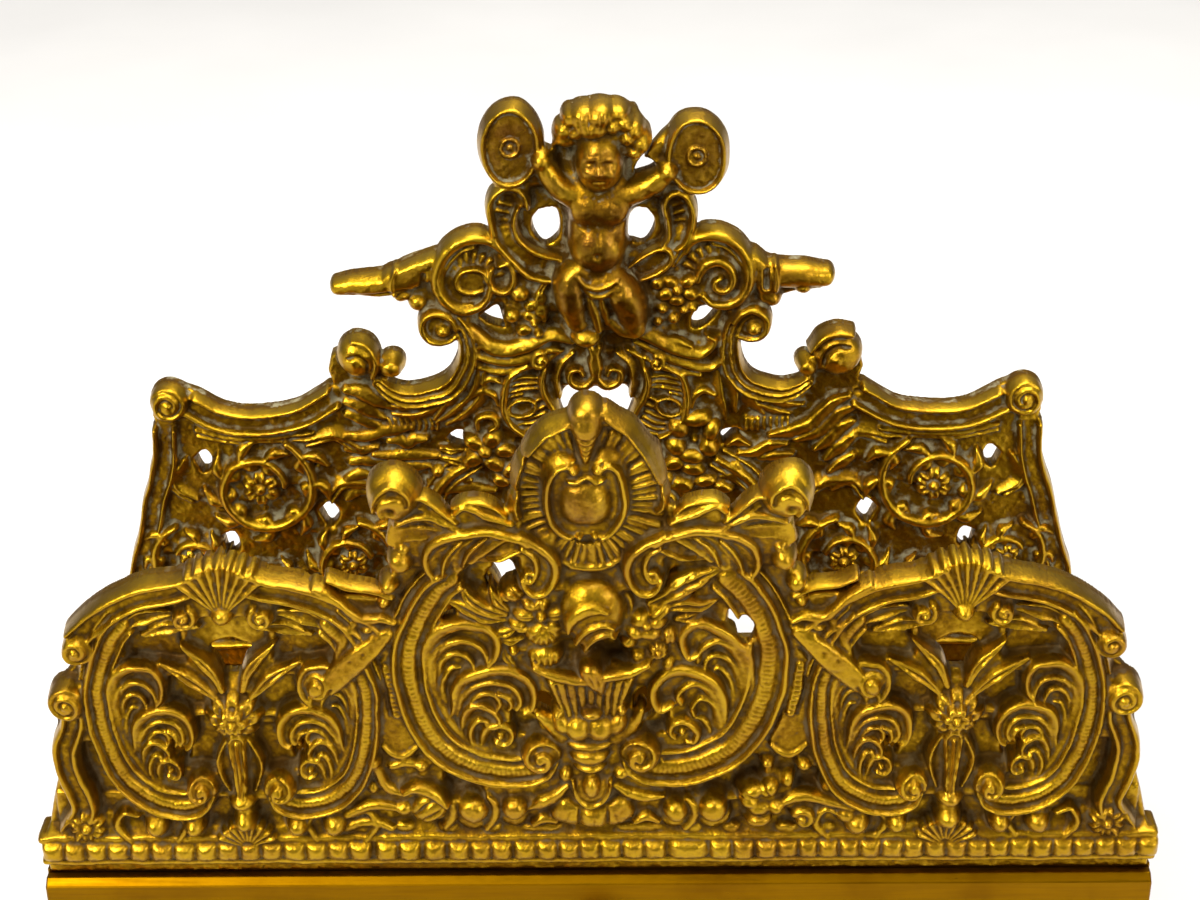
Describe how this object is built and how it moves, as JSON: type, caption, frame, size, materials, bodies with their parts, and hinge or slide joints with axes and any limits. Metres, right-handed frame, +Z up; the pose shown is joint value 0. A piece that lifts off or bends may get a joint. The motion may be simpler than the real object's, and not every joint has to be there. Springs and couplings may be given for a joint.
{
  "type": "letter rack",
  "caption": "Ornate cast brass letter rack: pierced scrollwork panels front and back on a flat case with a pull-out drawer.",
  "frame": {"origin": "middle of the footprint on the surface the feet stand on", "axes": "+Z up, +X to the right as seen from the front, +Y from the front panel towards the back panel"},
  "size_m": [0.25, 0.108, 0.1989],
  "materials": {
    "gilt_casting": "antique gilt, dark in the recesses",
    "brass_sheet": "satin polished",
    "turned_brass": "polished",
    "screw_steel": "plain"
  },
  "bodies": {
    "case": {"case_top": "brass_sheet", "case_bottom": "brass_sheet", "case_side_left": "brass_sheet", "case_side_right": "brass_sheet", "case_back": "brass_sheet", "runner_left": "brass_sheet", "runner_right": "brass_sheet", "drawer_stops": "brass_sheet", "front_panel": "gilt_casting", "back_panel": "gilt_casting", "front_panel_screws": "screw_steel", "back_panel_screws": "screw_steel", "foot_front_left": "turned_brass", "foot_front_right": "turned_brass", "foot_back_left": "turned_brass", "foot_back_right": "turned_brass", "foot_screws": "screw_steel"},
    "drawer": {"drawer_front": "brass_sheet", "drawer_bottom": "brass_sheet", "drawer_side_left": "brass_sheet", "drawer_side_right": "brass_sheet", "drawer_back": "brass_sheet", "drawer_knob": "turned_brass", "knob_screw": "screw_steel"}
  },
  "joints": [
    {"name": "drawer_slide", "type": "slide", "parent": "case", "child": "drawer", "axis": [0, -1, 0], "range_m": [0, 0.066]}
  ]
}
